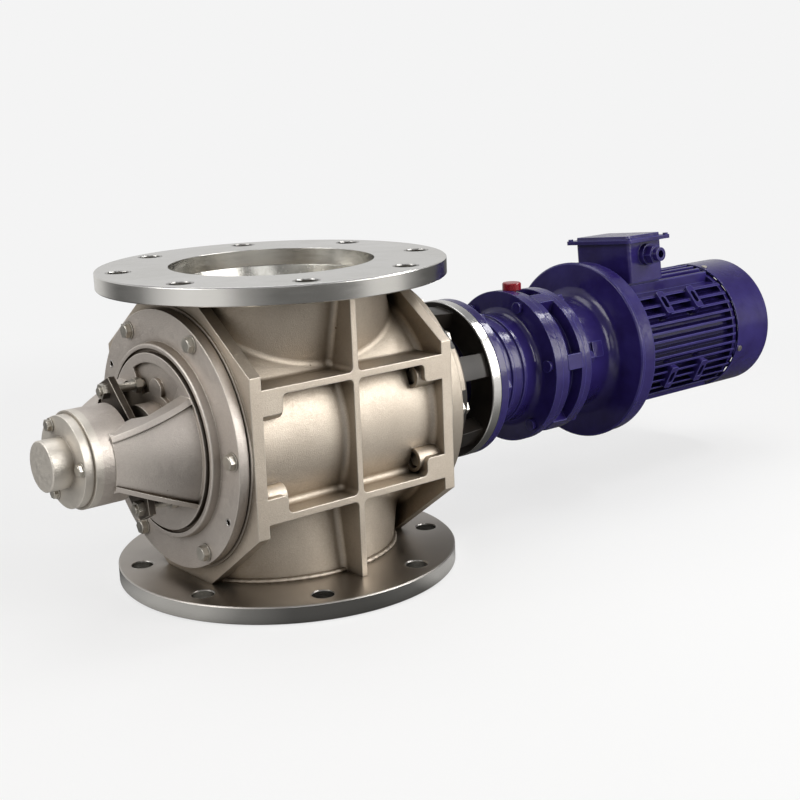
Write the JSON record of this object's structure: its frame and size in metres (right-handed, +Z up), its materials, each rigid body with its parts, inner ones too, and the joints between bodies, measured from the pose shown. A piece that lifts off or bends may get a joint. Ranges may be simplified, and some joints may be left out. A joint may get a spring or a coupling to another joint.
{
  "type": "rotary feeder",
  "caption": "Flanged rotary airlock feeder: ribbed cast valve body, eight-vane rotor, yoke-mounted bearing and stuffing box, lantern, cycloidal gearbox and finned motor.",
  "frame": {"origin": "centre of the outlet flange's lower face", "axes": "+X along the rotor axis towards the motor, +Z up through the inlet flange, -Y towards the side with the cable gland"},
  "size_m": [0.9496, 0.34, 0.308],
  "materials": {
    "cast_stainless": "bead-blasted warm grey casting",
    "machined_stainless": "turned bright",
    "blue_paint": "deep violet-blue gloss paint over cast metal",
    "black_paint": "near-black satin paint",
    "zinc_fastener": "dull plated steel",
    "bearing_steel": "ground",
    "gasket_fibre": "matt fibre sheet",
    "packing_cord": "braided",
    "seal_rubber": "matt",
    "laminated_core": "stacked sheet edges",
    "copper_winding": "varnished",
    "fan_plastic": "matt",
    "red_plastic": "gloss",
    "board_plastic": "matt"
  },
  "bodies": {
    "housing": {"valve_body": "cast_stainless", "inlet_flange": "machined_stainless", "outlet_flange": "machined_stainless", "boss_screws": "zinc_fastener", "outboard_cover_gasket": "gasket_fibre", "drive_cover_gasket": "gasket_fibre", "outboard_end_cover": "cast_stainless", "drive_end_cover": "cast_stainless", "outboard_cover_bolts": "zinc_fastener", "drive_cover_bolts": "zinc_fastener", "shaft_packing": "packing_cord", "packing_gland": "machined_stainless", "gland_studs": "zinc_fastener", "drive_shaft_seal": "seal_rubber", "bearing_cap": "cast_stainless", "cap_screws": "zinc_fastener", "outboard_bearing_outer_ring": "bearing_steel", "drive_bearing_outer_ring": "bearing_steel", "drive_lantern": "black_paint", "lantern_screws": "zinc_fastener", "gearbox_bolts": "blue_paint", "output_housing": "blue_paint", "output_bearing_outer_rings": "bearing_steel", "output_seal": "seal_rubber", "ring_gear_housing": "blue_paint", "ring_gear_pins": "bearing_steel", "through_bolts": "blue_paint", "breather_plug": "red_plastic", "drain_plug": "blue_paint", "motor_adapter": "blue_paint", "motor_frame": "blue_paint", "stator_core": "laminated_core", "stator_windings": "copper_winding", "motor_bearing_outer_rings": "bearing_steel", "rear_end_shield": "blue_paint", "fan_cowl": "blue_paint", "cowl_screws": "zinc_fastener", "terminal_box": "blue_paint", "terminal_box_lid": "blue_paint", "lid_screws": "blue_paint", "terminal_board": "board_plastic", "cable_gland": "blue_paint"},
    "rotor": {"rotor": "machined_stainless", "rotor_shaft": "machined_stainless", "shaft_circlip": "bearing_steel", "outboard_bearing_inner_ring": "bearing_steel", "drive_bearing_inner_ring": "bearing_steel", "coupling_sleeve": "zinc_fastener", "output_shaft": "bearing_steel", "output_bearing_inner_rings": "bearing_steel"},
    "motor_rotor": {"motor_shaft": "bearing_steel", "motor_armature": "laminated_core", "eccentric_cam": "bearing_steel", "cooling_fan": "fan_plastic", "motor_bearing_inner_rings": "bearing_steel"},
    "cycloid_disc": {"cycloid_disc": "bearing_steel"}
  },
  "joints": [
    {"name": "rotor_spin", "type": "hinge", "parent": "housing", "child": "rotor", "pos_m": [0, 0, 0.154], "axis": [1, 0, 0], "continuous": true},
    {"name": "motor_spin", "type": "hinge", "parent": "housing", "child": "motor_rotor", "pos_m": [0.5, 0, 0.154], "axis": [1, 0, 0], "continuous": true},
    {"name": "disc_spin", "type": "hinge", "parent": "motor_rotor", "child": "cycloid_disc", "pos_m": [0.3378, 0.0011, 0.154], "axis": [1, 0, 0], "continuous": true}
  ],
  "couplings": [
    {"joint": "motor_spin", "follows": "rotor_spin", "ratio": -29},
    {"joint": "disc_spin", "follows": "rotor_spin", "ratio": 30}
  ]
}
